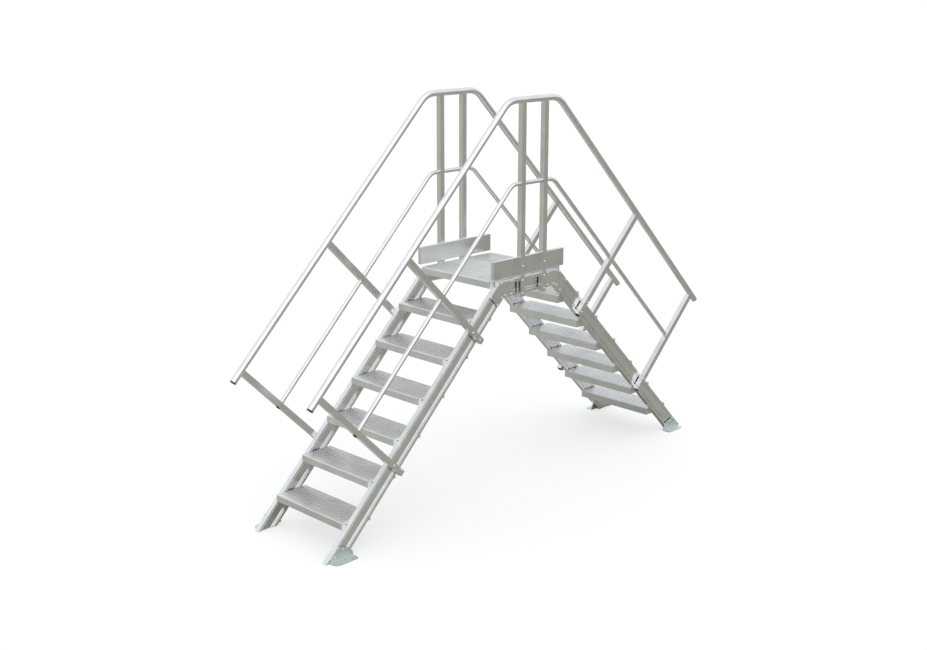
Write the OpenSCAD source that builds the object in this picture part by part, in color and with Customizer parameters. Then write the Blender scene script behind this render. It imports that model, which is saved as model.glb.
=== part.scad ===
// Crossover platform: two stair flights that climb to a short bridge deck with railings on both sides.
// Millimetres. X is the walking direction, Y runs across the steps, Z is up, the floor is z = 0.

/* [Flights] */
// height gained by each step
rise = 200; // [150:1:250]
// distance forward for each step, equal to the rise for a 45 degree flight
going = 200; // [150:1:250]
// treads in each flight, the deck is one rise above the last
tread_count = 6; // [2:1:6]
// clear width between the side members
clear_width = 600; // [400:10:1000]
// depth of the side member section, square to its front face
side_depth = 100; // [60:1:160]
// thickness of the side member section
side_thick = 33; // [20:1:60]
// how far the front plane of a flight, carried up to deck height, stands out from the middle
front_reach = 269; // [220:1:320]

/* [Side section] */
// width of the flat band at the front of the section
front_band = 20; // [10:1:30]
// width of the solid band at the rear of the section
rear_band = 30; // [16:1:40]
// how far the web sits in from each face
web_inset = 6.5; // [2:0.5:12]
// centre of the front bolt slot from the front face
front_slot_at = 10; // [6:0.5:14]
// centre of the rear bolt slot from the front face
rear_slot_at = 79.5; // [78:0.5:90]
// width of the front bolt slot
front_slot_wide = 5; // [3:0.5:8]
// width of the rear bolt slot
rear_slot_wide = 11; // [6:0.5:14]
// depth of the front bolt slot
front_slot_deep = 3; // [1:0.5:5]
// depth of the rear bolt slot
rear_slot_deep = 7; // [3:0.5:10]

/* [Treads and deck] */
// depth of a tread from nose to rear
tread_depth = 217; // [160:1:300]
// height of the tread section
tread_high = 45; // [30:1:60]
// how far the front of a tread stands out from the front plane of the flight
nose_out = 54.5; // [20:0.5:90]
// rounding of the upper edge of the nose
nose_round = 6; // [2:0.5:12]
// height of the set back strip under the nose
lip_high = 12; // [6:1:20]
// how far that strip is set back
lip_back = 3; // [1:0.5:8]
// grooves along the top of a tread
groove_count = 8; // [2:1:12]
// distance between the grooves
groove_pitch = 25.2; // [12:0.1:40]
// distance from the nose to the first groove
groove_start = 31; // [16:0.5:60]
// width of a groove
groove_wide = 9; // [3:0.5:14]
// depth of a groove
groove_deep = 3; // [1:0.5:6]
// thickness of the plate that closes each end of a tread
end_plate = 2; // [1:0.5:4]
// gap between neighbouring deck planks
plank_gap = 1; // [0.5:0.5:4]
// how far the deck surface stands above the bridge beams
deck_proud = 7; // [0:1:20]

/* [Toe boards] */
// height of a toe board
toe_high = 111; // [80:1:160]
// thickness of a toe board
toe_thick = 25; // [10:1:40]
// gap between the deck surface and the toe board
toe_gap = 12; // [4:1:30]
// length of a toe board
toe_long = 640; // [400:1:800]

/* [Railings] */
// height of the handrail centre above the deck
rail_high = 1077; // [900:1:1200]
// diameter of the handrail tube
rail_d = 40; // [30:1:60]
// half distance between the points where the handrail slopes would meet its level part
rail_corner = 220; // [160:1:300]
// bend radius of the handrail centre line
rail_bend = 150; // [80:1:250]
// horizontal distance from the middle to the free end of the handrail
rail_end = 1757; // [1500:1:1900]
// height of the knee rail centre above the deck
knee_high = 580; // [400:1:700]
// diameter of the knee rail tube
knee_d = 27; // [20:1:40]
// half distance between the points where the knee rail slopes would meet its level part
knee_corner = 184; // [120:1:260]
// bend radius of the knee rail centre line
knee_bend = 100; // [60:1:200]
// horizontal distance from the middle to the free end of the knee rail
knee_end = 1448; // [1200:1:1600]
// length of a tube end cap
cap_long = 5; // [2:0.5:12]
// how much narrower a tube is drawn round its bends
bend_draw = 0.2; // [0.1:0.05:1]
// how far a straight tube runs into the bend beside it
bend_lap = 1; // [0.5:0.1:3]

/* [Posts and uprights] */
// side of the square post tube
post_side = 35; // [25:1:60]
// distance of each post from the middle
post_at = 100; // [60:1:200]
// how far posts and uprights run past the section they are bolted to
tail = 13; // [0:1:40]
// distance down the slope from the middle of the deck to the upper upright
upper_upright = 557.6; // [400:0.1:800]
// distance down the slope from the middle of the deck to the lower upright
lower_upright = 1490.6; // [1200:0.1:1700]
// gap round the knee rail where it passes through a post
rail_fit = 0.25; // [0.1:0.05:1]

/* [Knee plates] */
// thickness of a knee plate
plate_thick = 4; // [2:0.5:8]
// distance from the middle to the inner end of a knee plate
plate_in = 152; // [120:1:200]
// distance down the slope from the middle of the deck to the lower end of a knee plate
plate_low = 312.5; // [260:0.5:380]
// margin between the plate and the front face of the section
plate_edge = 4; // [0:0.5:12]

/* [Foot brackets] */
// thickness of the bracket plate
foot_thick = 5; // [3:0.5:8]
// horizontal distance from the middle to the toe end of the floor plate
foot_toe = 1640; // [1500:1:1800]
// horizontal distance from the middle to the heel end of the floor plate
foot_heel = 1472; // [1300:1:1600]
// how far the floor plate reaches out from the side member
foot_out = 57; // [40:1:90]
// diameter of the anchor hole
anchor_d = 11; // [8:0.5:16]
// horizontal distance from the middle to the anchor hole
anchor_at = 1550; // [1480:1:1620]
// distance of the anchor hole from the face of the side member
anchor_out = 22; // [12:1:40]
// radius of the outer toe corner of the floor plate
toe_round = 34; // [5:1:40]
// radius of the outer heel corner of the floor plate
heel_round = 14; // [5:1:30]
// height of the bracket at its front end
foot_high = 84; // [50:1:110]
// height of the bracket at its rear shoulder
foot_shoulder = 62; // [40:1:90]

/* [Hidden] */
$fn = 48;
slope = atan2(rise, going);
mitre = slope / 2;
deck_z = rise * (tread_count + 1);
half_clear = clear_width / 2;
outer = half_clear + side_thick;
beam_z = deck_z - deck_proud;
toe_x = front_reach + deck_z;
mitre_x = front_reach + deck_proud;
nose_x = front_reach + nose_out;
rail_y = outer + post_side / 2;
rail_z = deck_z + rail_high;
knee_z = deck_z + knee_high;
plank_deep = (2 * nose_x - 2 * plank_gap) / 3;
saddle_up = sqrt(rail_d * rail_d / 4 - post_side * post_side / 4);
rail_drop = (rail_high + rail_corner * tan(slope)) * cos(slope);
front_drop = front_reach * sin(slope);
bore_drop = (knee_high + knee_corner * tan(slope)) * cos(slope);
upright_top = rail_drop - saddle_up;
upright_low = front_drop - side_depth - tail;
big = 4000;
cut_over = 1;

// Reflects what was drawn for the left near corner to the named corner.
module corner(right, far) {
    mirror([right ? 1 : 0, 0, 0])
        mirror([0, far ? 1 : 0, 0])
            children();
}

// The aluminium section of stringers and beams: x is depth from the front face, y is thickness.
module side_section() {
    difference() {
        square([side_depth, side_thick]);
        for (y = [-cut_over, side_thick - web_inset])
            translate([front_band, y])
                square([side_depth - front_band - rear_band, web_inset + cut_over]);
        for (y = [-cut_over, side_thick - rear_slot_deep])
            translate([rear_slot_at - rear_slot_wide / 2, y])
                square([rear_slot_wide, rear_slot_deep + cut_over]);
        for (y = [-cut_over, side_thick - front_slot_deep])
            translate([front_slot_at - front_slot_wide / 2, y])
                square([front_slot_wide, front_slot_deep + cut_over]);
    }
}

// Everything on the bridge side of the mitre between stringer and beam.
module bridge_side() {
    translate([-mitre_x, 0, beam_z])
        rotate([0, -mitre, 0])
            translate([0, -big / 2, -big / 2])
                cube([big, big, big]);
}

// Everything on the flight side of that mitre.
module flight_side() {
    translate([-mitre_x, 0, beam_z])
        rotate([0, -mitre, 0])
            translate([-big, -big / 2, -big / 2])
                cube([big, big, big]);
}

// Stringer of the left near corner, cut level at the floor and mitred to the beam.
module left_near_stringer() {
    color([0.8, 0.81, 0.8])
        difference() {
            translate([-toe_x, -outer, 0])
                rotate([0, slope, 0])
                    translate([0, 0, -side_depth])
                        linear_extrude(height = deck_z / sin(slope) + 2 * side_depth)
                            side_section();
            translate([-big, -big / 2, -big])
                cube([2 * big, big, big]);
            bridge_side();
        }
}

module stringer_left_near() {
    left_near_stringer();
}

module stringer_left_far() {
    corner(false, true)
        left_near_stringer();
}

module stringer_right_near() {
    corner(true, false)
        left_near_stringer();
}

module stringer_right_far() {
    corner(true, true)
        left_near_stringer();
}

// Level beam of the near side, mitred at both ends.
module near_beam() {
    color([0.8, 0.81, 0.8])
        difference() {
            translate([-mitre_x - side_depth, -outer, beam_z])
                rotate([0, 90, 0])
                    linear_extrude(height = 2 * mitre_x + 2 * side_depth)
                        side_section();
            flight_side();
            mirror([1, 0, 0])
                flight_side();
        }
}

module beam_near() {
    near_beam();
}

module beam_far() {
    corner(false, true)
        near_beam();
}

// Outline of a tread: x from the front, y downwards is negative, top at 0.
module tread_outline(depth, with_nose) {
    difference() {
        translate([0, -tread_high])
            square([depth, tread_high]);
        if (with_nose) {
            difference() {
                translate([-cut_over, -nose_round])
                    square([nose_round + cut_over, nose_round + cut_over]);
                translate([nose_round, -nose_round])
                    circle(r = nose_round);
            }
            translate([-cut_over, -tread_high - cut_over])
                square([lip_back + cut_over, lip_high + cut_over]);
        }
        for (i = [0 : groove_count - 1])
            translate([groove_start + i * groove_pitch - groove_wide / 2, -groove_deep])
                square([groove_wide, groove_deep + cut_over]);
    }
}

// A plank across the clear width, its top at z = 0 and its front at x = 0.
module plank(depth, with_nose) {
    translate([0, half_clear - end_plate, 0])
        rotate([90, 0, 0])
            linear_extrude(height = clear_width - 2 * end_plate)
                tread_outline(depth, with_nose);
    for (y = [-half_clear, half_clear - end_plate])
        translate([lip_back, y, -tread_high])
            cube([depth - lip_back, end_plate, tread_high - groove_deep]);
}

// Tread number i of the left flight, counted from the floor.
module left_tread(i) {
    color([0.85, 0.86, 0.86])
        translate([-nose_x - going * (tread_count + 1 - i), 0, rise * i])
            plank(tread_depth, true);
}

module right_tread(i) {
    mirror([1, 0, 0])
        left_tread(i);
}

module tread_left_1() {
    left_tread(1);
}

module tread_left_2() {
    left_tread(2);
}

module tread_left_3() {
    left_tread(3);
}

module tread_left_4() {
    left_tread(4);
}

module tread_left_5() {
    left_tread(5);
}

module tread_left_6() {
    left_tread(6);
}

module tread_right_1() {
    right_tread(1);
}

module tread_right_2() {
    right_tread(2);
}

module tread_right_3() {
    right_tread(3);
}

module tread_right_4() {
    right_tread(4);
}

module tread_right_5() {
    right_tread(5);
}

module tread_right_6() {
    right_tread(6);
}

module deck_plank_left() {
    color([0.85, 0.86, 0.86])
        translate([-nose_x, 0, deck_z])
            plank(plank_deep, true);
}

module deck_plank_middle() {
    color([0.85, 0.86, 0.86])
        translate([-plank_deep / 2, 0, deck_z])
            plank(plank_deep, false);
}

module deck_plank_right() {
    mirror([1, 0, 0])
        deck_plank_left();
}

// Toe board of the near side, flush with the outer face of the beam.
module near_toe_board() {
    color([0.78, 0.79, 0.78])
        translate([-toe_long / 2, -outer, deck_z + toe_gap])
            cube([toe_long, toe_thick, toe_high]);
}

module toe_board_near() {
    near_toe_board();
}

module toe_board_far() {
    corner(false, true)
        near_toe_board();
}

// Square tube stood up at z = 0, its top shaped to the handrail and bored for the knee rail.
module post_tube(low, high, bore_at) {
    difference() {
        translate([-post_side / 2, -post_side / 2, low])
            cube([post_side, post_side, high - low]);
        translate([-post_side, 0, high + saddle_up])
            rotate([0, 90, 0])
                cylinder(d = rail_d, h = 2 * post_side);
        translate([-post_side, 0, bore_at])
            rotate([0, 90, 0])
                cylinder(d = knee_d + 2 * rail_fit, h = 2 * post_side);
    }
}

// Both posts of the near side.
module near_posts() {
    color([0.75, 0.76, 0.74])
        for (x = [-post_at, post_at])
            translate([x, -rail_y, deck_z])
                post_tube(-deck_proud - side_depth - tail, rail_high - saddle_up, knee_high);
}

module posts_near() {
    near_posts();
}

module posts_far() {
    corner(false, true)
        near_posts();
}

// Both uprights of the left near corner, square to the slope.
module left_near_uprights() {
    color([0.75, 0.76, 0.74])
        translate([0, -rail_y, deck_z])
            rotate([0, -slope, 0])
                for (at = [upper_upright, lower_upright])
                    translate([-at, 0, 0])
                        post_tube(upright_low, upright_top, bore_drop);
}

module uprights_left_near() {
    left_near_uprights();
}

module uprights_left_far() {
    corner(false, true)
        left_near_uprights();
}

module uprights_right_near() {
    corner(true, false)
        left_near_uprights();
}

module uprights_right_far() {
    corner(true, true)
        left_near_uprights();
}

// Bend and sloping end of a tube, drawn about the centre of the bend.
module bend_and_fall(bend, d, fall) {
    rotate([90, 0, 0])
        rotate([0, 0, 90 - slope])
            rotate_extrude(angle = slope)
                translate([bend, 0])
                    circle(d = d - bend_draw);
    rotate([0, slope, 0])
        translate([-bend_lap, 0, bend])
            rotate([0, 90, 0])
                cylinder(d = d, h = fall + bend_lap);
}

// One bent tube: a level part with a slope down at each end.
module bent_tube(z, corner_x, bend, d, end_x) {
    start = corner_x - bend * tan(slope / 2);
    fall = (end_x - start - bend * sin(slope)) / cos(slope);
    translate([-start - bend_lap, 0, z])
        rotate([0, 90, 0])
            cylinder(d = d, h = 2 * start + 2 * bend_lap);
    translate([start, 0, z - bend])
        bend_and_fall(bend, d, fall);
    mirror([1, 0, 0])
        translate([start, 0, z - bend])
            bend_and_fall(bend, d, fall);
}

module handrail_near() {
    color([0.82, 0.83, 0.82])
        translate([0, -rail_y, 0])
            bent_tube(rail_z, rail_corner, rail_bend, rail_d, rail_end);
}

module handrail_far() {
    mirror([0, 1, 0])
        handrail_near();
}

module knee_rail_near() {
    color([0.82, 0.83, 0.82])
        translate([0, -rail_y, 0])
            bent_tube(knee_z, knee_corner, knee_bend, knee_d, knee_end);
}

module knee_rail_far() {
    mirror([0, 1, 0])
        knee_rail_near();
}

// Cap on the free end of a sloping tube of the left near corner.
module tube_cap(z, corner_x, d, end_x) {
    translate([-end_x, -rail_y, z - (end_x - corner_x) * tan(slope)])
        rotate([0, 90 + slope, 180])
            cylinder(d = d, h = cap_long);
}

module rail_end_caps() {
    color([0.08, 0.08, 0.08])
        for (right = [false, true])
            for (far = [false, true])
                corner(right, far) {
                    tube_cap(rail_z, rail_corner, rail_d, rail_end);
                    tube_cap(knee_z, knee_corner, knee_d, knee_end);
                }
}

// Bent flat plate that joins stringer and beam on the outer face of the left near corner.
module left_near_knee_plate() {
    top = -deck_proud - plate_edge;
    low = -deck_proud - side_depth;
    front_in = front_reach - plate_edge / cos(slope);
    rear_in = front_reach - side_depth / cos(slope);
    color([0.72, 0.73, 0.7])
        translate([0, -outer, deck_z])
            rotate([90, 0, 0])
                linear_extrude(height = plate_thick)
                    polygon([
                        [-plate_in, top],
                        [-plate_in, low],
                        [low - rear_in, low],
                        [-plate_low * cos(slope) - rear_in / 2, -plate_low * sin(slope) + rear_in / 2],
                        [-plate_low * cos(slope) - front_in / 2, -plate_low * sin(slope) + front_in / 2],
                        [top - front_in, top]]);
}

module knee_plate_left_near() {
    left_near_knee_plate();
}

module knee_plate_left_far() {
    corner(false, true)
        left_near_knee_plate();
}

module knee_plate_right_near() {
    corner(true, false)
        left_near_knee_plate();
}

module knee_plate_right_far() {
    corner(true, true)
        left_near_knee_plate();
}

// Angle bracket on the foot of the left near stringer: upright plate, floor plate and anchor hole.
module left_near_foot() {
    edge_in = toe_x - plate_edge / sin(slope);
    color([0.7, 0.73, 0.72])
        union() {
            translate([0, -outer, 0])
                rotate([90, 0, 0])
                    linear_extrude(height = foot_thick)
                        polygon([
                            [-foot_toe, 0],
                            [-foot_heel, 0],
                            [-foot_heel - 4, foot_shoulder / 2],
                            [-foot_heel - 34, foot_shoulder],
                            [foot_high - edge_in, foot_high],
                            [-foot_toe, edge_in - foot_toe]]);
            difference() {
                translate([-foot_toe, -outer - foot_out, 0])
                    cube([foot_toe - foot_heel, foot_out - foot_thick, foot_thick]);
                translate([-anchor_at, -outer - anchor_out, -cut_over])
                    cylinder(d = anchor_d, h = foot_thick + 2 * cut_over);
                translate([-foot_toe, -outer - foot_out, 0])
                    plate_corner(toe_round);
                translate([-foot_heel, -outer - foot_out, 0])
                    mirror([1, 0, 0])
                        plate_corner(heel_round);
            }
        }
}

// What is cut away to round a corner of the floor plate.
module plate_corner(r) {
    difference() {
        translate([-cut_over, -cut_over, -cut_over])
            cube([r + cut_over, r + cut_over, foot_thick + 2 * cut_over]);
        translate([r, r, -2 * cut_over])
            cylinder(r = r, h = foot_thick + 4 * cut_over);
    }
}

module foot_left_near() {
    left_near_foot();
}

module foot_left_far() {
    corner(false, true)
        left_near_foot();
}

module foot_right_near() {
    corner(true, false)
        left_near_foot();
}

module foot_right_far() {
    corner(true, true)
        left_near_foot();
}

stringer_left_near();
stringer_left_far();
stringer_right_near();
stringer_right_far();
tread_left_1();
tread_left_2();
tread_left_3();
tread_left_4();
tread_left_5();
tread_left_6();
tread_right_1();
tread_right_2();
tread_right_3();
tread_right_4();
tread_right_5();
tread_right_6();
beam_near();
beam_far();
deck_plank_left();
deck_plank_middle();
deck_plank_right();
toe_board_near();
toe_board_far();
posts_near();
posts_far();
uprights_left_near();
uprights_left_far();
uprights_right_near();
uprights_right_far();
knee_plate_left_near();
knee_plate_left_far();
knee_plate_right_near();
knee_plate_right_far();
handrail_near();
handrail_far();
knee_rail_near();
knee_rail_far();
foot_left_near();
foot_left_far();
foot_right_near();
foot_right_far();
rail_end_caps();
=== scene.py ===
# Aluminium crossover platform: the finished look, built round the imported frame. Metres, Z up, floor at z = 0.
import math
import bpy
from mathutils import Matrix, Vector


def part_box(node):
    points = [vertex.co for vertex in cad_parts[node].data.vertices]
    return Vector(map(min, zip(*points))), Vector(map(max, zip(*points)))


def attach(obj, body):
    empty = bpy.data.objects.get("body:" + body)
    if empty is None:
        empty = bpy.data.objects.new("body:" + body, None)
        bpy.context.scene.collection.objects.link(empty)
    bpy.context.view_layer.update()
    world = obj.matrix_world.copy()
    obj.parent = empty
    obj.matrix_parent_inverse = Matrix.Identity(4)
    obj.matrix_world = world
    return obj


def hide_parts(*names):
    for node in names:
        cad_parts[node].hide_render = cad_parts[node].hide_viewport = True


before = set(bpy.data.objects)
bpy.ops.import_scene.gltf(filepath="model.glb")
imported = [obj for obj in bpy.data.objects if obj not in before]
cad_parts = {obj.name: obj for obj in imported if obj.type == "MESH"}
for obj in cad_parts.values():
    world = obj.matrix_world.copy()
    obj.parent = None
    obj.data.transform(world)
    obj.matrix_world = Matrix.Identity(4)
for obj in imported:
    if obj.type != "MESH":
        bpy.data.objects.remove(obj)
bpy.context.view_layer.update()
print("stage: frame loaded")


# ---- places taken from the frame -------------------------------------------------------------------
def nodeBox(name):
    low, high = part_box(name)
    return Vector(low), Vector(high)


deckTop = nodeBox("deck_plank_middle")[1].z
memberOuter = -nodeBox("beam_near")[0].y          # outer face of stringers and beams
postLow, postHigh = nodeBox("posts_near")
postOuter = -postLow.y                            # outer face of posts and uprights
railLineY = (postLow.y + postHigh.y) / 2          # centre plane of the near railing
plateOuter = -nodeBox("knee_plate_left_near")[0].y


# ---- small helpers ---------------------------------------------------------------------------------
def activate(obj):
    if bpy.context.object and bpy.context.object.mode != "OBJECT":
        bpy.ops.object.mode_set(mode="OBJECT")
    bpy.ops.object.select_all(action="DESELECT")
    obj.select_set(True)
    bpy.context.view_layer.objects.active = obj


def selectFaces(obj, test):
    bpy.ops.object.mode_set(mode="OBJECT")
    for v in obj.data.vertices:
        v.select = False
    for e in obj.data.edges:
        e.select = False
    for f in obj.data.polygons:
        f.select = bool(test(f.center, f.normal))
    bpy.ops.object.mode_set(mode="EDIT")
    bpy.ops.mesh.select_mode(type="FACE")


def applyModifier(obj, kind, **settings):
    activate(obj)
    mod = obj.modifiers.new(kind.lower(), kind)
    for key, value in settings.items():
        setattr(mod, key, value)
    bpy.ops.object.modifier_apply(modifier=mod.name)


def bakePlace(obj):
    activate(obj)
    bpy.ops.object.transform_apply(location=True, rotation=True, scale=True)


def placedCopy(source, name, matrix):
    mesh = source.data.copy()
    mesh.transform(matrix)
    if matrix.determinant() < 0:
        mesh.flip_normals()
    copy = bpy.data.objects.new(name, mesh)
    bpy.context.collection.objects.link(copy)
    return copy


def joined(objects, name):
    activate(objects[0])
    for obj in objects:
        obj.select_set(True)
    bpy.ops.object.join()
    piece = bpy.context.object
    piece.name = name
    piece.data.name = name
    return piece


def finishPiece(piece, material, nodes=(), smoothAngle=50):
    activate(piece)
    bpy.ops.object.shade_smooth_by_angle(angle=math.radians(smoothAngle))
    applyModifier(piece, "WEIGHTED_NORMAL", weight=100, keep_sharp=True)   # keeps the flats flat
    piece.data.materials.clear()
    piece.data.materials.append(material)
    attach(piece, "root")
    if nodes:
        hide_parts(*nodes)


def mirrored(right, far):
    return Matrix.Diagonal((-1 if right else 1, -1 if far else 1, 1, 1))


corners = [(right, far) for right in (False, True) for far in (False, True)]


# ---- finishes --------------------------------------------------------------------------------------
def linearColour(hexText):
    parts = [int(hexText[i:i + 2], 16) / 255 for i in (0, 2, 4)]
    return tuple(c / 12.92 if c <= 0.04045 else ((c + 0.055) / 1.055) ** 2.4 for c in parts) + (1.0,)


def addNode(tree, kind, settings=None, links=None):
    node = tree.nodes.new(kind)
    for key, value in (settings or {}).items():
        if key in node.inputs.keys():
            node.inputs[key].default_value = value
        else:
            setattr(node, key, value)
    for key, output in (links or {}).items():
        tree.links.new(output, node.inputs[key])
    return node


def freshMaterial(name):
    material = bpy.data.materials.new(name)
    material.use_nodes = True
    tree = material.node_tree
    tree.nodes.clear()
    out = addNode(tree, "ShaderNodeOutputMaterial")
    shader = addNode(tree, "ShaderNodeBsdfPrincipled")
    tree.links.new(shader.outputs["BSDF"], out.inputs["Surface"])
    return material, tree, shader


# Mill finish aluminium pushed through a die: fine lines along the bar, a soft sheen across them.
extrudedFinish = {
    "colour": "E8E9E9",
    "shade": "DFE0E0",
    "roughness": 0.18,
    "metal": 1.0,
    "roughnessSwing": 0.04,
    "dieLine": 0.0016,        # spacing of the visible die lines, coarser than real so that they show
    "dieLineLength": 0.9,
    "cloud": 0.12,            # size of the faint handling clouds
}


def extrudedAluminium(name, turn, settings=None):
    s = dict(extrudedFinish, **(settings or {}))
    material, tree, shader = freshMaterial(name)
    place = addNode(tree, "ShaderNodeTexCoord")
    turned = addNode(tree, "ShaderNodeMapping", {"Rotation": turn}, {"Vector": place.outputs["Object"]})
    along = addNode(tree, "ShaderNodeMapping", {"Scale": (1 / s["dieLineLength"], 1 / s["dieLine"], 1 / s["dieLine"])},
                    {"Vector": turned.outputs["Vector"]})
    lines = addNode(tree, "ShaderNodeTexNoise", {"Scale": 1.0, "Detail": 2.0}, {"Vector": along.outputs["Vector"]})
    cloud = addNode(tree, "ShaderNodeTexNoise", {"Scale": 1 / s["cloud"], "Detail": 3.0},
                    {"Vector": place.outputs["Object"]})
    tone = addNode(tree, "ShaderNodeMapRange", {"From Min": 0.35, "From Max": 0.65},
                   {"Value": cloud.outputs["Fac"]})
    mix = addNode(tree, "ShaderNodeMix", {"data_type": "RGBA"})
    mix.inputs[6].default_value = linearColour(s["shade"])
    mix.inputs[7].default_value = linearColour(s["colour"])
    tree.links.new(tone.outputs["Result"], mix.inputs[0])
    tree.links.new(mix.outputs[2], shader.inputs["Base Color"])
    rough = addNode(tree, "ShaderNodeMapRange", {
        "From Min": 0.3, "From Max": 0.7,
        "To Min": s["roughness"] - s["roughnessSwing"], "To Max": s["roughness"] + s["roughnessSwing"]},
        {"Value": lines.outputs["Fac"]})
    tree.links.new(rough.outputs["Result"], shader.inputs["Roughness"])
    shader.inputs["Metallic"].default_value = s["metal"]
    return material


slopeTurn = math.radians(45)
alongX = (0, 0, 0)
alongY = (0, 0, math.radians(-90))
alongZ = (0, math.radians(90), 0)
alongRise = (0, slopeTurn, 0)          # left flight, falling towards -X
alongFall = (0, -slopeTurn, 0)         # right flight

memberLeft = extrudedAluminium("stringer_extrusion_left", alongRise)
memberRight = extrudedAluminium("stringer_extrusion_right", alongFall)
memberLevel = extrudedAluminium("beam_extrusion", alongX)
treadMetal = extrudedAluminium("tread_extrusion", alongY, {"roughness": 0.36, "metal": 0.93})
# the floors and walls of the tread grooves, and the lips beside the plank joints, get a darker colour as painted
# shade; they are also a little rougher
groovePaintedShade = extrudedAluminium("groove_painted_shade", alongY, {"roughness": 0.42, "colour": "E2E4E2", "shade": "DADCDA"})
postMetal = extrudedAluminium("post_extrusion", alongZ)
uprightLeft = extrudedAluminium("upright_extrusion_left", alongFall)
uprightRight = extrudedAluminium("upright_extrusion_right", alongRise)
railMetal = extrudedAluminium("drawn_tube", alongX, {"dieLineLength": 0.05, "roughnessSwing": 0.0})
plateMetal = extrudedAluminium("rolled_plate", alongX, {"roughness": 0.26})

# Hot dip galvanised steel: zinc crystals a few millimetres across, each a slightly different grey.
galvanisedFinish = {"light": "DFE8E6", "dark": "D0DAD8", "crystal": 0.004, "roughness": 0.5}


def galvanisedSteel(s):
    material, tree, shader = freshMaterial("galvanised_steel")
    place = addNode(tree, "ShaderNodeTexCoord")
    flakes = addNode(tree, "ShaderNodeTexVoronoi", {"Scale": 1 / s["crystal"]}, {"Vector": place.outputs["Object"]})
    flakeTone = addNode(tree, "ShaderNodeSeparateColor", {}, {"Color": flakes.outputs["Color"]})
    mix = addNode(tree, "ShaderNodeMix", {"data_type": "RGBA"})
    mix.inputs[6].default_value = linearColour(s["dark"])
    mix.inputs[7].default_value = linearColour(s["light"])
    tree.links.new(flakeTone.outputs[0], mix.inputs[0])
    tree.links.new(mix.outputs[2], shader.inputs["Base Color"])
    rough = addNode(tree, "ShaderNodeMapRange", {"To Min": s["roughness"] - 0.08, "To Max": s["roughness"] + 0.08},
                    {"Value": flakeTone.outputs[1]})
    tree.links.new(rough.outputs["Result"], shader.inputs["Roughness"])
    shader.inputs["Metallic"].default_value = 1.0
    return material


# Zinc plated or stainless screw heads: cold formed, bright, slightly uneven.
def brightFastener():
    material, tree, shader = freshMaterial("bright_screw_steel")
    place = addNode(tree, "ShaderNodeTexCoord")
    grain = addNode(tree, "ShaderNodeTexNoise", {"Scale": 400.0, "Detail": 2.0}, {"Vector": place.outputs["Object"]})
    rough = addNode(tree, "ShaderNodeMapRange", {"To Min": 0.14, "To Max": 0.3}, {"Value": grain.outputs["Fac"]})
    tree.links.new(rough.outputs["Result"], shader.inputs["Roughness"])
    shader.inputs["Base Color"].default_value = linearColour("E3E4E4")
    shader.inputs["Metallic"].default_value = 1.0
    return material


# Black oxide socket screws: a thin dark skin over steel, dull in the socket.
def darkFastener():
    material, tree, shader = freshMaterial("black_oxide_steel")
    place = addNode(tree, "ShaderNodeTexCoord")
    grain = addNode(tree, "ShaderNodeTexNoise", {"Scale": 500.0, "Detail": 2.0}, {"Vector": place.outputs["Object"]})
    rough = addNode(tree, "ShaderNodeMapRange", {"To Min": 0.3, "To Max": 0.5}, {"Value": grain.outputs["Fac"]})
    tree.links.new(rough.outputs["Result"], shader.inputs["Roughness"])
    shader.inputs["Base Color"].default_value = linearColour("4A4B4A")
    shader.inputs["Metallic"].default_value = 1.0
    return material


# Black polyethylene plugs: moulded, with a fine spark-eroded grain that dulls the shine.
def blackPlug():
    material, tree, shader = freshMaterial("black_moulded_plastic")
    place = addNode(tree, "ShaderNodeTexCoord")
    grain = addNode(tree, "ShaderNodeTexNoise", {"Scale": 900.0, "Detail": 1.0}, {"Vector": place.outputs["Object"]})
    tone = addNode(tree, "ShaderNodeMix", {"data_type": "RGBA"})
    tone.inputs[6].default_value = linearColour("131313")
    tone.inputs[7].default_value = linearColour("1C1C1C")
    tree.links.new(grain.outputs["Fac"], tone.inputs[0])
    tree.links.new(tone.outputs[2], shader.inputs["Base Color"])
    bump = addNode(tree, "ShaderNodeBump", {"Strength": 0.6, "Distance": 0.00003}, {"Height": grain.outputs["Fac"]})
    tree.links.new(bump.outputs["Normal"], shader.inputs["Normal"])
    shader.inputs["Roughness"].default_value = 0.45
    shader.inputs["IOR"].default_value = 1.51
    return material


galvanised = galvanisedSteel(galvanisedFinish)
screwSteel = brightFastener()
darkSteel = darkFastener()
plugPlastic = blackPlug()
print("stage: finishes made")


# ---- extruded bars and plates: the frame's own shapes with real edges ------------------------------
edgeSizes = {
    "member": 0.0007,
    "tread": 0.0009,
    "toeBoard": 0.0012,
    "post": 0.0025,
    "plate": 0.0006,
    "foot": 0.0008,
}


def edgedCopy(nodeName, name, edge, segments=2, sharp=30):
    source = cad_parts[nodeName]
    copy = placedCopy(source, name, Matrix.Identity(4))
    activate(copy)
    bpy.ops.mesh.customdata_custom_splitnormals_clear()
    bpy.ops.object.mode_set(mode="EDIT")
    bpy.ops.mesh.select_all(action="SELECT")
    bpy.ops.mesh.remove_doubles(threshold=0.00002)
    bpy.ops.mesh.dissolve_limited(angle_limit=math.radians(0.5))
    bpy.ops.mesh.normals_make_consistent(inside=False)
    bpy.ops.object.mode_set(mode="OBJECT")
    applyModifier(copy, "BEVEL", width=edge, segments=segments, limit_method="ANGLE",
                  angle_limit=math.radians(sharp), miter_outer="MITER_SHARP", use_clamp_overlap=True)
    return copy


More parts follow.
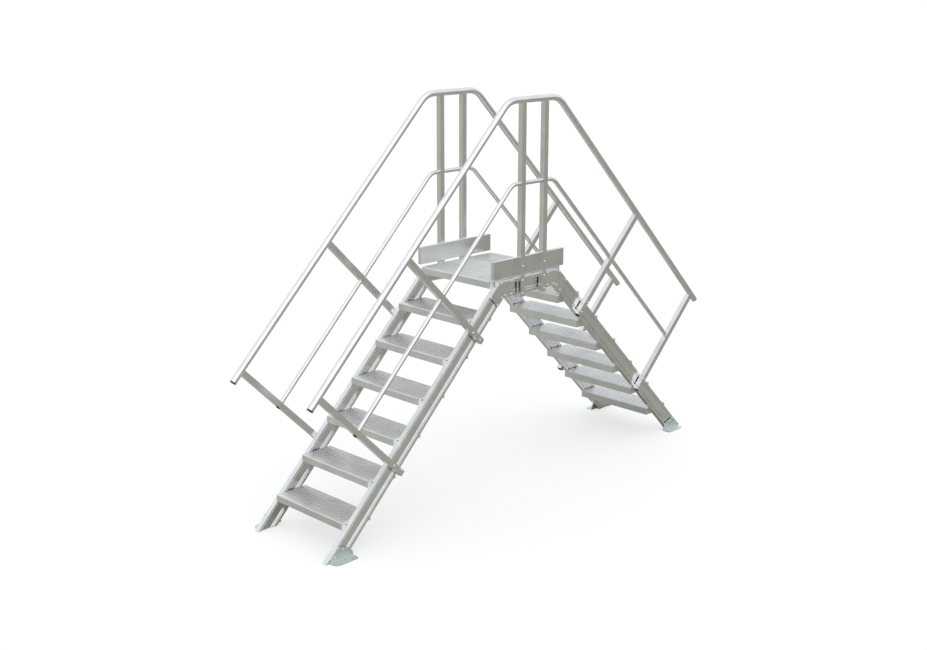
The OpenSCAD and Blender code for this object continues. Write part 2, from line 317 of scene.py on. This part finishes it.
def finishMembers():
    for side, metal in (("left", memberLeft), ("right", memberRight)):
        for place in ("near", "far"):
            node = f"stringer_{side}_{place}"
            finishPiece(edgedCopy(node, f"{node}_finished", edgeSizes["member"]), metal, [node])
    for place in ("near", "far"):
        node = f"beam_{place}"
        finishPiece(edgedCopy(node, f"{node}_finished", edgeSizes["member"]), memberLevel, [node])
        node = f"toe_board_{place}"
        finishPiece(edgedCopy(node, f"{node}_finished", edgeSizes["toeBoard"]), memberLevel, [node])


# depth, skin and joint width that bound the painted shade in the grooves and beside the plank joints
grooveSizes = {"deep": 0.003, "skin": 0.0004, "joint": 0.0042}


def paintGrooveShade(piece, joints=()):
    # faces below the tread surface, and the narrow lips beside a plank joint, take the darker finish: painted shade in
    # the grooves and at the joints
    piece.data.materials.append(groovePaintedShade)
    top = max(v.co.z for v in piece.data.vertices)
    nearEnd = min(v.co.y for v in piece.data.vertices) + 0.004
    farEnd = max(v.co.y for v in piece.data.vertices) - 0.004
    for face in piece.data.polygons:
        z = face.center.z - top
        inGroove = -grooveSizes["deep"] - grooveSizes["skin"] < z < -grooveSizes["skin"] * 2
        inward = nearEnd < face.center.y < farEnd
        upward = face.normal.z > -0.1
        beside = any(abs(face.center.x - x) < grooveSizes["joint"] for x in joints) and z > -grooveSizes["deep"]
        if (inGroove and inward and upward and abs(face.normal.y) < 0.5) or beside:
            face.material_index = 1


def finishTreads():
    for side in ("left", "right"):
        for number in range(1, 7):
            node = f"tread_{side}_{number}"
            piece = edgedCopy(node, f"{node}_finished", edgeSizes["tread"])
            finishPiece(piece, treadMetal, [node])
            paintGrooveShade(piece)
    middleLow, middleHigh = nodeBox("deck_plank_middle")
    for part in ("left", "middle", "right"):
        node = f"deck_plank_{part}"
        piece = edgedCopy(node, f"{node}_finished", edgeSizes["tread"])
        finishPiece(piece, treadMetal, [node])
        paintGrooveShade(piece, (middleLow.x, middleHigh.x))


tubeWall = {"wall": 0.0025, "openDepth": 0.12}


def hollowEnd(piece, direction):
    # the lower end of a square tube is open: the end face is set in by the wall and pushed up the bore
    ends = [f.center.dot(direction) for f in piece.data.polygons if f.normal.dot(direction) > 0.99]
    lowest = max(ends)
    selectFaces(piece, lambda c, n: n.dot(direction) > 0.99 and c.dot(direction) > lowest - 0.001)
    bpy.ops.mesh.inset(thickness=tubeWall["wall"], depth=0, use_individual=True)
    shift = -direction * tubeWall["openDepth"]
    bpy.ops.mesh.extrude_region_move(TRANSFORM_OT_translate={"value": shift})
    bpy.ops.object.mode_set(mode="OBJECT")


def finishPosts():
    down = Vector((0, 0, -1))
    for place in ("near", "far"):
        node = f"posts_{place}"
        piece = edgedCopy(node, f"{node}_finished", edgeSizes["post"], 3)
        hollowEnd(piece, down)
        finishPiece(piece, postMetal, [node])
    for side, metal, lean in (("left", uprightLeft, 1), ("right", uprightRight, -1)):
        direction = Vector((lean, 0, -1)).normalized()
        for place in ("near", "far"):
            node = f"uprights_{side}_{place}"
            piece = edgedCopy(node, f"{node}_finished", edgeSizes["post"], 3)
            hollowEnd(piece, direction)
            finishPiece(piece, metal, [node])


def finishPlates():
    for side in ("left", "right"):
        for place in ("near", "far"):
            node = f"knee_plate_{side}_{place}"
            finishPiece(edgedCopy(node, f"{node}_finished", edgeSizes["plate"]), plateMetal, [node])
            node = f"foot_{side}_{place}"
            finishPiece(edgedCopy(node, f"{node}_finished", edgeSizes["foot"]), galvanised, [node])


finishMembers()
finishTreads()
print("stage: members, treads and deck finished")
finishPosts()
finishPlates()
print("stage: posts and plates finished")


# ---- bent rail tubes -------------------------------------------------------------------------------
handrailSizes = {"node": "handrail_near", "diameter": 0.040, "corner": 0.220, "bend": 0.150, "end": 1.757,
                 "wall": 0.002, "sides": 48, "bendSteps": 16}
kneeRailSizes = {"node": "knee_rail_near", "diameter": 0.027, "corner": 0.184, "bend": 0.100, "end": 1.448,
                 "wall": 0.002, "sides": 40, "bendSteps": 14}


def bentTube(name, s):
    level = nodeBox(s["node"])[1].z - s["diameter"] / 2
    angle = slopeTurn
    start = s["corner"] - s["bend"] * math.tan(angle / 2)
    fall = (s["end"] - start - s["bend"] * math.sin(angle)) / math.cos(angle)
    bpy.ops.object.select_all(action="DESELECT")
    bpy.ops.mesh.primitive_circle_add(vertices=s["sides"], radius=s["diameter"] / 2, fill_type="NOTHING",
                                      location=(0, railLineY, level), rotation=(0, math.radians(90), 0))
    tube = bpy.context.object
    tube.name = name
    bakePlace(tube)
    bpy.ops.object.mode_set(mode="EDIT")
    bpy.ops.mesh.select_mode(type="VERT")
    bpy.ops.mesh.select_all(action="SELECT")
    bpy.ops.mesh.extrude_region_move(TRANSFORM_OT_translate={"value": (start, 0, 0)})
    bpy.ops.mesh.spin(steps=s["bendSteps"], angle=-angle, center=(start, railLineY, level - s["bend"]), axis=(0, 1, 0))
    bpy.ops.mesh.extrude_region_move(
        TRANSFORM_OT_translate={"value": (fall * math.cos(angle), 0, -fall * math.sin(angle))})
    bpy.ops.mesh.select_all(action="SELECT")
    bpy.ops.mesh.remove_doubles(threshold=0.00001)
    bpy.ops.object.mode_set(mode="OBJECT")
    applyModifier(tube, "MIRROR", use_axis=(True, False, False), merge_threshold=0.0001)
    bpy.ops.object.mode_set(mode="EDIT")
    bpy.ops.mesh.select_all(action="SELECT")
    bpy.ops.mesh.normals_make_consistent(inside=False)
    bpy.ops.object.mode_set(mode="OBJECT")
    applyModifier(tube, "SOLIDIFY", thickness=s["wall"], offset=-1)
    return tube


def makeRails():
    for kind, sizes in (("handrail", handrailSizes), ("knee_rail", kneeRailSizes)):
        near = bentTube(f"{kind}_near_tube", sizes)
        far = placedCopy(near, f"{kind}_far_tube", mirrored(False, True))
        finishPiece(near, railMetal, [f"{kind}_near"])
        finishPiece(far, railMetal, [f"{kind}_far"])


makeRails()
print("stage: rails made")


# ---- black plugs in the rail ends ------------------------------------------------------------------
plugSizes = {"length": 0.005, "edge": 0.0012, "neck": 0.02, "sides": 40}


def tubePlug(s):
    # a flange as wide as the tube with a rounded rim, and a neck that sits in the bore
    z = nodeBox(s["node"])[1].z - s["diameter"] / 2 - (s["end"] - s["corner"])
    bpy.ops.object.select_all(action="DESELECT")
    bpy.ops.mesh.primitive_cylinder_add(vertices=plugSizes["sides"], radius=s["diameter"] / 2,
                                        depth=plugSizes["length"], location=(0, 0, plugSizes["length"] / 2))
    plug = bpy.context.object
    bakePlace(plug)
    selectFaces(plug, lambda c, n: n.z > 0.9)
    bpy.ops.mesh.bevel(offset=plugSizes["edge"], segments=3, affect="EDGES")
    bpy.ops.object.mode_set(mode="OBJECT")
    selectFaces(plug, lambda c, n: n.z < -0.9)
    bpy.ops.mesh.inset(thickness=s["wall"], depth=0)
    bpy.ops.mesh.extrude_region_move(TRANSFORM_OT_translate={"value": (0, 0, -plugSizes["neck"])})
    bpy.ops.object.mode_set(mode="OBJECT")
    turn = Matrix.Rotation(math.radians(180 + 45), 4, "Y")
    plug.data.transform(Matrix.Translation((-s["end"], railLineY, z)) @ turn)
    return plug


def makePlugs():
    made = []
    for sizes in (handrailSizes, kneeRailSizes):
        first = tubePlug(sizes)
        for right, far in corners:
            made.append(placedCopy(first, "plug", mirrored(right, far)))
        bpy.data.objects.remove(first)
    finishPiece(joined(made, "rail_plugs"), plugPlastic, ["rail_end_caps"])


makePlugs()
print("stage: plugs made")


# ---- screws ----------------------------------------------------------------------------------------
screwSizes = {"washer": 0.0085, "washerHigh": 0.0015, "head": 0.0072, "headHigh": 0.0042, "socket": 0.0026,
              "socketDeep": 0.0024, "sides": 20}


def buttonScrew(scale=1.0):
    # washer, domed head and socket in one turned shape, axis +Z, seated on z = 0
    s = screwSizes
    bpy.ops.object.select_all(action="DESELECT")
    bpy.ops.mesh.primitive_cylinder_add(vertices=s["sides"], radius=s["washer"], depth=s["washerHigh"],
                                        location=(0, 0, s["washerHigh"] / 2))
    screw = bpy.context.object
    bakePlace(screw)
    selectFaces(screw, lambda c, n: n.z > 0.9)
    bpy.ops.mesh.inset(thickness=s["washer"] - s["head"], depth=0)
    rings = ((0.35, 1.0), (0.3, 0.9), (0.2, 0.78), (0.15, 0.62))
    radius = s["head"]
    for high, wide in rings:
        bpy.ops.mesh.extrude_region_move(TRANSFORM_OT_translate={"value": (0, 0, high * s["headHigh"])})
        factor = wide * s["head"] / radius
        bpy.ops.transform.resize(value=(factor, factor, 1))
        radius = wide * s["head"]
    bpy.ops.mesh.inset(thickness=radius - s["socket"], depth=0)
    bpy.ops.mesh.extrude_region_move(TRANSFORM_OT_translate={"value": (0, 0, -s["socketDeep"])})
    bpy.ops.object.mode_set(mode="OBJECT")
    screw.data.transform(Matrix.Scale(scale, 4))
    return screw


def screwSet(name, spots, scale=1.0, metal=screwSteel):
    # spots are (x, y, z, outward direction) on the left near corner, repeated on all four
    first = buttonScrew(scale)
    made = []
    for x, y, z, outward in spots:
        turn = Vector((0, 0, 1)).rotation_difference(Vector(outward)).to_matrix().to_4x4()
        for right, far in corners:
            place = mirrored(right, far) @ Matrix.Translation((x, y, z)) @ turn
            made.append(placedCopy(first, "screw", place))
    bpy.data.objects.remove(first)
    finishPiece(joined(made, name), metal)


outwards = (0, -1, 0)
kneePlateScrews = [(0.167, -0.016), (0.256, -0.017), (0.281, -0.027), (0.346, -0.091),
                   (0.167, -0.096), (0.223, -0.095), (0.251, -0.107), (0.290, -0.1475)]
uprightScrews = [(0.532, -0.267), (0.472, -0.321), (1.175, -0.932), (1.119, -0.972)]
postScrews = [0.0725, -0.0165, -0.0985]
footScrews = [(1.580, 0.076), (1.548, 0.061), (1.607, 0.031)]


def makeScrews():
    screwSet("knee_plate_screws",
             [(-x, -plateOuter, deckTop + z, outwards) for x, z in kneePlateScrews])
    postX = (postHigh.x - postLow.x) / 2 - (postOuter - memberOuter) / 2
    screwSet("post_screws", [(-postX, -postOuter, deckTop + z, outwards) for z in postScrews])
    screwSet("upright_screws", [(-x, -postOuter, deckTop + z, outwards) for x, z in uprightScrews])
    footFace = memberOuter + 0.005
    screwSet("foot_screws", [(-x, -footFace, z, outwards) for x, z in footScrews])
    treadLow, treadHigh = nodeBox("tread_left_1")
    nose = treadLow.x
    step = nodeBox("tread_left_2")[1].z - treadHigh.z
    screwSet("tread_end_screws",
             [(nose + 0.036 + step * i, treadLow.y, treadHigh.z - 0.017 + step * i, outwards) for i in range(6)], 0.45,
             darkSteel)


makeScrews()
print("stage: screws made")


# ---- floor, light and camera -----------------------------------------------------------------------
studio = {
    "floorHalf": 60.0,
    "floorWhite": "FFFFFF",
    # painted light falloff: the floor that the metal sees is painted darker away from the key light and lighter
    # towards it
    "floorPaintedShade": "A09F95",       # what the metal sees of the floor, away from the key light
    "floorPaintedLight": "B8B7AC",       # and towards it
    "floorPaintedFalloff": 4.0,
    "wall": "A4A49A",           # grey studio wall, up to a few degrees above the horizon
    "wallTop": 0.04,
    "ceilingStart": 0.17,
    "ceiling": "FAFCFF",        # bright diffusing ceiling
    "sun": 0.5,
    "sunAngle": 90,
}


def makeFloor():
    bpy.ops.object.select_all(action="DESELECT")
    bpy.ops.mesh.primitive_plane_add(size=2 * studio["floorHalf"], location=(0, 0, -0.0005))
    floor = bpy.context.object
    floor.name = "studio_floor"
    bakePlace(floor)
    material = bpy.data.materials.new("pale_studio_floor")
    material.use_nodes = True
    tree = material.node_tree
    tree.nodes.clear()
    out = addNode(tree, "ShaderNodeOutputMaterial")
    path = addNode(tree, "ShaderNodeLightPath")
    white = addNode(tree, "ShaderNodeBsdfDiffuse", {"Color": linearColour(studio["floorWhite"])})
    glow = addNode(tree, "ShaderNodeEmission", {"Color": linearColour(studio["floorWhite"]), "Strength": 1.0})
    seen = addNode(tree, "ShaderNodeMixShader", {"Fac": 0.6})
    tree.links.new(white.outputs[0], seen.inputs[1])
    tree.links.new(glow.outputs[0], seen.inputs[2])
    # the floor seen by bounce light and reflections is painted darker away from the key light and lighter towards it:
    # a painted light falloff
    place = addNode(tree, "ShaderNodeTexCoord")
    across = addNode(tree, "ShaderNodeVectorMath", {"operation": "DOT_PRODUCT"}, {0: place.outputs["Object"]})
    across.inputs[1].default_value = (-0.707, 0.707, 0)
    paintedFalloff = addNode(tree, "ShaderNodeMapRange", {"From Min": -studio["floorPaintedFalloff"], "From Max": studio["floorPaintedFalloff"]},
                   {"Value": across.outputs["Value"]})
    tint = addNode(tree, "ShaderNodeMix", {"data_type": "RGBA"})
    tint.inputs[6].default_value = linearColour(studio["floorPaintedShade"])
    tint.inputs[7].default_value = linearColour(studio["floorPaintedLight"])
    tree.links.new(paintedFalloff.outputs["Result"], tint.inputs[0])
    grey = addNode(tree, "ShaderNodeBsdfDiffuse", {}, {"Color": tint.outputs[2]})
    pick = addNode(tree, "ShaderNodeMixShader")
    tree.links.new(path.outputs["Is Camera Ray"], pick.inputs[0])
    tree.links.new(grey.outputs[0], pick.inputs[1])
    tree.links.new(seen.outputs[0], pick.inputs[2])
    tree.links.new(pick.outputs[0], out.inputs["Surface"])
    floor.data.materials.append(material)


def makeSky():
    world = bpy.data.worlds.new("studio_sky")
    bpy.context.scene.world = world
    world.use_nodes = True
    tree = world.node_tree
    tree.nodes.clear()
    out = addNode(tree, "ShaderNodeOutputWorld")
    path = addNode(tree, "ShaderNodeLightPath")
    place = addNode(tree, "ShaderNodeTexCoord")
    split = addNode(tree, "ShaderNodeSeparateXYZ", {}, {"Vector": place.outputs["Generated"]})
    rise = addNode(tree, "ShaderNodeMapRange", {"From Min": studio["wallTop"], "From Max": studio["ceilingStart"]},
                   {"Value": split.outputs["Z"]})
    tint = addNode(tree, "ShaderNodeMix", {"data_type": "RGBA"})
    tint.inputs[6].default_value = linearColour(studio["wall"])
    tint.inputs[7].default_value = linearColour(studio["ceiling"])
    tree.links.new(rise.outputs["Result"], tint.inputs[0])
    soft = addNode(tree, "ShaderNodeBackground", {"Strength": 1.0}, {"Color": tint.outputs[2]})
    white = addNode(tree, "ShaderNodeBackground", {"Color": (1, 1, 1, 1), "Strength": 1.0})
    pick = addNode(tree, "ShaderNodeMixShader")
    tree.links.new(path.outputs["Is Camera Ray"], pick.inputs[0])
    tree.links.new(soft.outputs[0], pick.inputs[1])
    tree.links.new(white.outputs[0], pick.inputs[2])
    tree.links.new(pick.outputs[0], out.inputs["Surface"])


def makeLamps():
    sun = bpy.data.lights.new("soft_key", "SUN")
    sun.energy = studio["sun"]
    sun.angle = math.radians(studio["sunAngle"])
    key = bpy.data.objects.new("soft_key", sun)
    bpy.context.collection.objects.link(key)
    key.rotation_euler = (math.radians(35), math.radians(-25), 0)


def makeCamera():
    camera = bpy.data.cameras.new("camera")
    camera.lens = 49.75
    camera.sensor_width = 36.0
    view = bpy.data.objects.new("camera", camera)
    bpy.context.collection.objects.link(view)
    view.location = (-5.7727, -5.5097, 3.1525)
    view.rotation_euler = (math.radians(90 - 15.017), 0, math.radians(-45.092))
    camera.clip_end = 200
    bpy.context.scene.camera = view


makeFloor()
makeSky()
makeLamps()
makeCamera()
bpy.context.scene.view_settings.view_transform = "Standard"
print("stage: studio ready")
